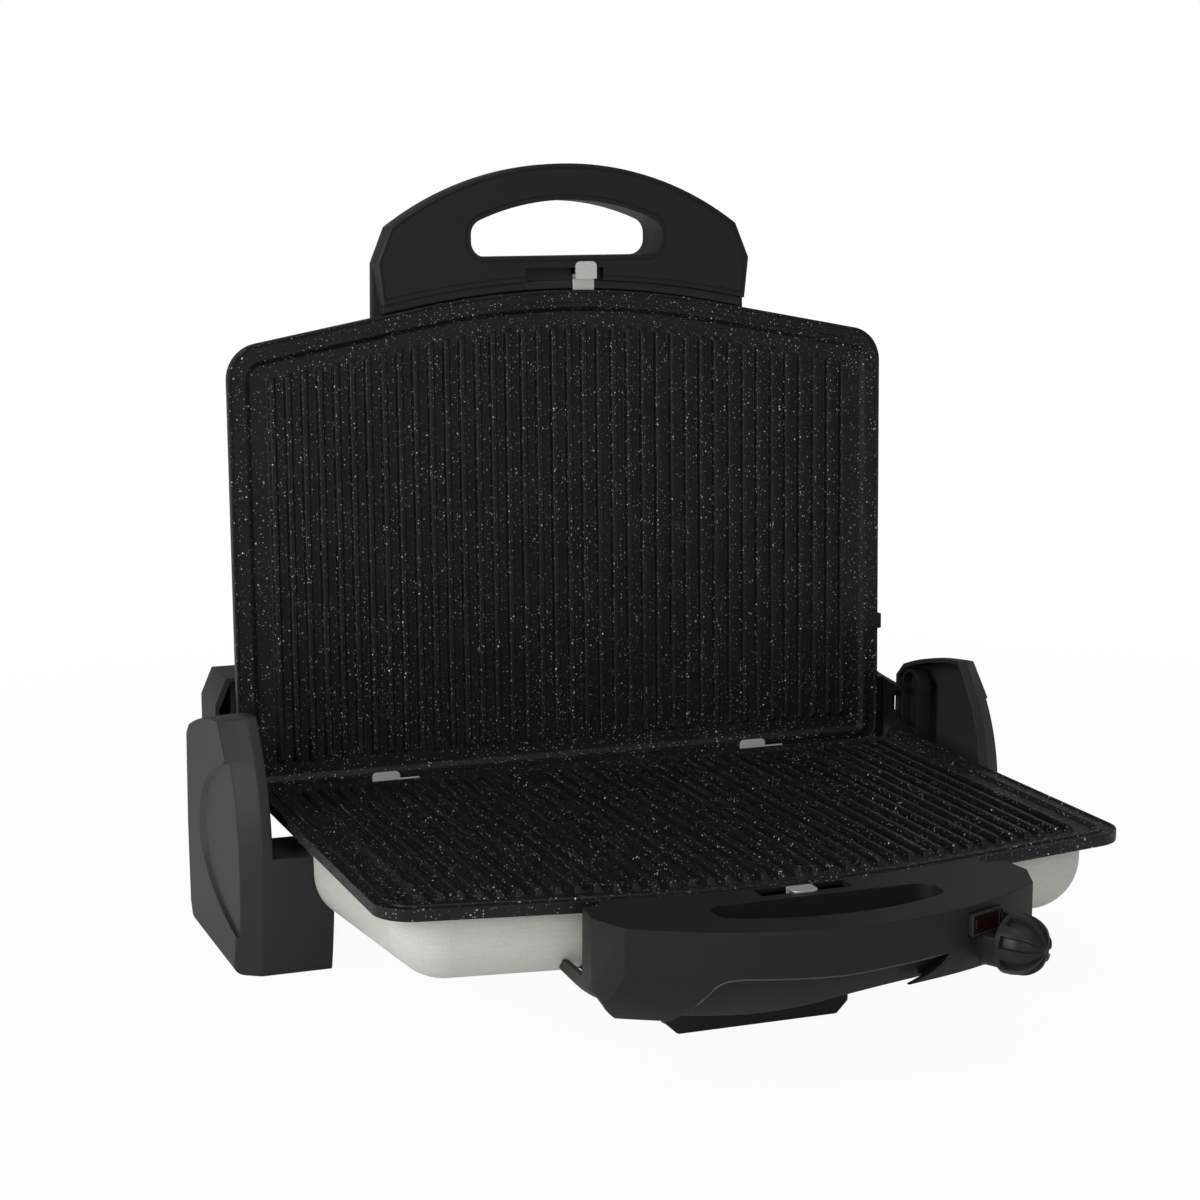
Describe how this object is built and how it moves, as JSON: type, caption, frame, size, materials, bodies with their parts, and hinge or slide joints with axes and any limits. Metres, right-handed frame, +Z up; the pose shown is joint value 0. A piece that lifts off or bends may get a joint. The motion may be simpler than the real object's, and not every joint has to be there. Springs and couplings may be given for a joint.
{
  "type": "electric contact grill",
  "caption": "Countertop contact grill with ribbed plates in shallow metal housings, a lid hinged on side columns, an arched handle and a front panel with a thermostat knob.",
  "frame": {"origin": "on the table, under the middle of the bounding box with the lid open", "axes": "+Z up; -Y towards the user, who looks along +Y at the front panel; +X to the user's right, the side with the thermostat knob"},
  "size_m": [0.419, 0.4216, 0.3899],
  "materials": {
    "plate_coating": "satin non-stick coating, black with fine grey and white specks",
    "arm_black": "satin black painted steel",
    "housing_enamel": "satin warm light grey enamel",
    "plastic_front": "satin black with a fine grain",
    "plastic_body": "satin dark grey with a fine grain",
    "knob_plastic": "satin black",
    "steel_bright": "bright rolled steel",
    "steel_grey": "zinc plated",
    "heater_sheath": "heat-tinted sheath",
    "reflector_sheet": "bright aluminised sheet",
    "rubber": "matt black",
    "lens_red": "glossy dark red, translucent",
    "lamp_glass": "clear glow tube",
    "ceramic": "white insulating moulding",
    "thermostat_body": "brown insulating moulding"
  },
  "bodies": {
    "base": {"lower_housing": "housing_enamel", "lower_plate": "plate_coating", "lower_plate_hooks": "steel_bright", "lower_reflector": "reflector_sheet", "lower_heater": "heater_sheath", "panel_shell": "plastic_front", "panel_tray": "plastic_front", "thermostat": "thermostat_body", "lamp_bezel": "plastic_body", "lamp_lens": "lens_red", "lamp_bulb": "lamp_glass", "cord_gland": "rubber", "terminal_block": "ceramic", "front_foot": "plastic_body", "front_foot_pads": "rubber", "base_screws": "steel_grey", "column_right": "plastic_body", "guide_right": "plastic_front", "foot_pads_right": "rubber", "column_left": "plastic_body", "guide_left": "plastic_front", "foot_pads_left": "rubber"},
    "left_carrier": {"carrier_left": "plastic_front", "hinge_pin_left": "steel_grey"},
    "right_carrier": {"carrier_right": "plastic_front", "hinge_pin_right": "steel_grey"},
    "lid": {"upper_housing": "housing_enamel", "upper_plate": "plate_coating", "upper_plate_hooks": "steel_bright", "upper_reflector": "reflector_sheet", "upper_heater": "heater_sheath", "handle_front": "plastic_front", "handle_rear": "plastic_body", "handle_screws": "steel_grey", "lid_arm_right": "arm_black", "lid_arm_left": "arm_black", "arm_cover_right": "plastic_body", "arm_cover_left": "plastic_body"},
    "knob": {"thermostat_knob": "knob_plastic"},
    "lower_latch": {"lower_latch": "steel_bright"},
    "upper_latch": {"upper_latch": "steel_bright"}
  },
  "joints": [
    {"name": "lid_lift", "type": "slide", "parent": "base", "child": "left_carrier", "axis": [0, 0, 1], "range_m": [0, 0.018]},
    {"name": "right_carrier_lift", "type": "slide", "parent": "base", "child": "right_carrier", "axis": [0, 0, 1], "range_m": [0, 0.018]},
    {"name": "lid_hinge", "type": "hinge", "parent": "left_carrier", "child": "lid", "pos_m": [0, 0.13177, 0.0597], "axis": [-1, 0, 0], "range_deg": [-91.6, 0]},
    {"name": "thermostat_turn", "type": "hinge", "parent": "base", "child": "knob", "pos_m": [0.06897, -0.18394, 0.0616], "axis": [-0.4226, 0.9063, 0], "range_deg": [0, 280]},
    {"name": "lower_latch_press", "type": "slide", "parent": "base", "child": "lower_latch", "axis": [0, -1, 0], "range_m": [0, 0.003], "stiffness_N_per_m": 600},
    {"name": "upper_latch_press", "type": "slide", "parent": "lid", "child": "upper_latch", "axis": [0, 0.0279, 0.9996], "range_m": [0, 0.003], "stiffness_N_per_m": 600}
  ],
  "couplings": [
    {"joint": "right_carrier_lift", "follows": "lid_lift", "ratio": 1}
  ]
}
